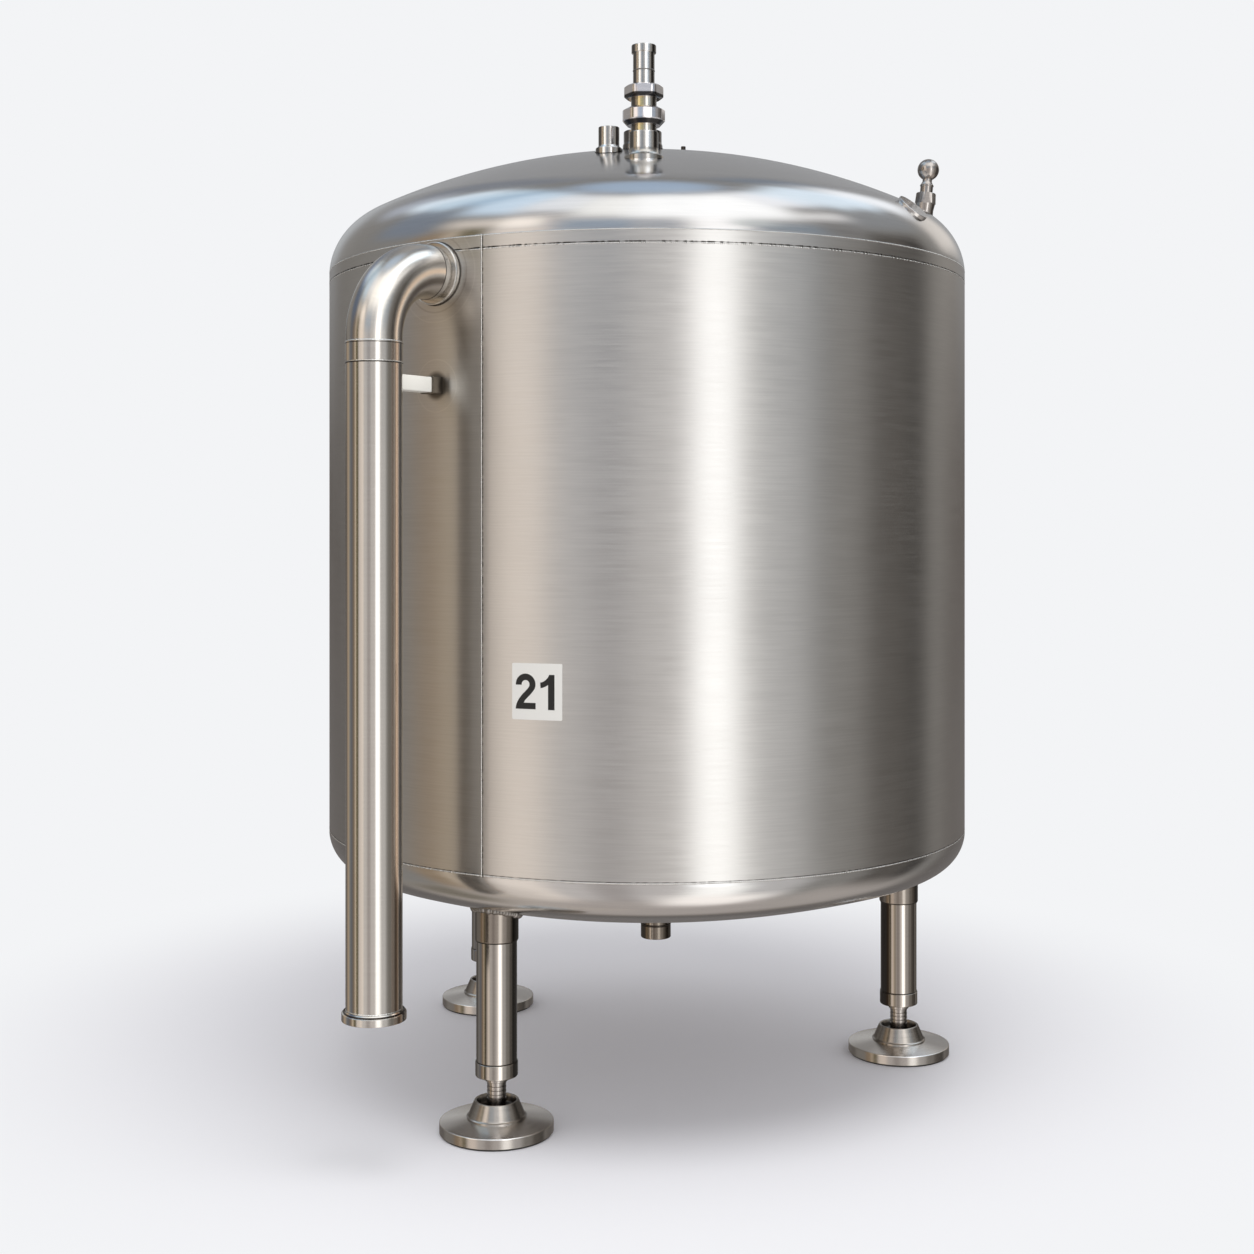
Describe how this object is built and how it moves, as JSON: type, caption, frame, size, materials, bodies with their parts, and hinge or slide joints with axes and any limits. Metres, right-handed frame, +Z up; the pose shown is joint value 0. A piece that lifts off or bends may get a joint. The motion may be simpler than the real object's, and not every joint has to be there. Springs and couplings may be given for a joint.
{
  "type": "vertical storage tank",
  "caption": "Upright stainless steel storage tank with dished ends, an outside overflow pipe, top nozzles, a bottom drain and adjustable feet.",
  "frame": {"origin": "floor level, in the middle of the whole tank's footprint; the tank's own axis stands 32.0 mm behind it, because the overflow pipe reaches out in front", "axes": "+Z up along the tank's axis, -Y to the front, +X to the right as seen from the front"},
  "size_m": [1.4, 1.464, 2.1265],
  "materials": {
    "brushed_shell": "stainless sheet, brushed round the shell with fine level lines",
    "satin_ends": "stainless dished ends, spun and satin ground",
    "pipe_steel": "stainless pipe, fine ground and nearly bright",
    "bracket_steel": "stainless square bar, ground",
    "leg_steel": "stainless leg tube, ground",
    "foot_steel": "stainless foot, turned and bright",
    "fitting_steel": "stainless fittings, turned and bright",
    "foot_rubber": "black moulded rubber",
    "plate_white": "white plastic plate with plain black numerals added in the scene"
  },
  "bodies": {
    "root": {"shell_wall": "brushed_shell", "upper_band": "brushed_shell", "top_head": "satin_ends", "bottom_head": "satin_ends", "overflow_shell_ring": "pipe_steel", "overflow_stub": "pipe_steel", "overflow_elbow": "pipe_steel", "overflow_joint_sleeve": "pipe_steel", "overflow_downpipe": "pipe_steel", "overflow_ferrule": "pipe_steel", "bracket_bar": "bracket_steel", "bracket_block": "bracket_steel", "leg_front_left_sleeve": "leg_steel", "leg_front_left_tube": "leg_steel", "leg_front_left_collar": "leg_steel", "foot_front_left_stem": "foot_steel", "foot_front_left_cone": "foot_steel", "foot_front_left_pad": "foot_steel", "foot_front_left_rubber": "foot_rubber", "leg_right_sleeve": "leg_steel", "leg_right_tube": "leg_steel", "leg_right_collar": "leg_steel", "foot_right_stem": "foot_steel", "foot_right_cone": "foot_steel", "foot_right_pad": "foot_steel", "foot_right_rubber": "foot_rubber", "leg_back_left_sleeve": "leg_steel", "leg_back_left_tube": "leg_steel", "leg_back_left_collar": "leg_steel", "foot_back_left_stem": "foot_steel", "foot_back_left_cone": "foot_steel", "foot_back_left_pad": "foot_steel", "foot_back_left_rubber": "foot_rubber", "nozzle_socket": "fitting_steel", "nozzle_union": "fitting_steel", "nozzle_lower_nut": "fitting_steel", "nozzle_upper_nut": "fitting_steel", "nozzle_spigot": "fitting_steel", "short_nozzle": "fitting_steel", "rear_nozzle": "fitting_steel", "dome_plug": "fitting_steel", "dome_pad": "fitting_steel", "vent_stem": "fitting_steel", "vent_nut": "fitting_steel", "vent_knob": "fitting_steel", "drain_neck": "fitting_steel", "drain_ferrule": "fitting_steel", "number_plate": "plate_white"}
  },
  "joints": []
}
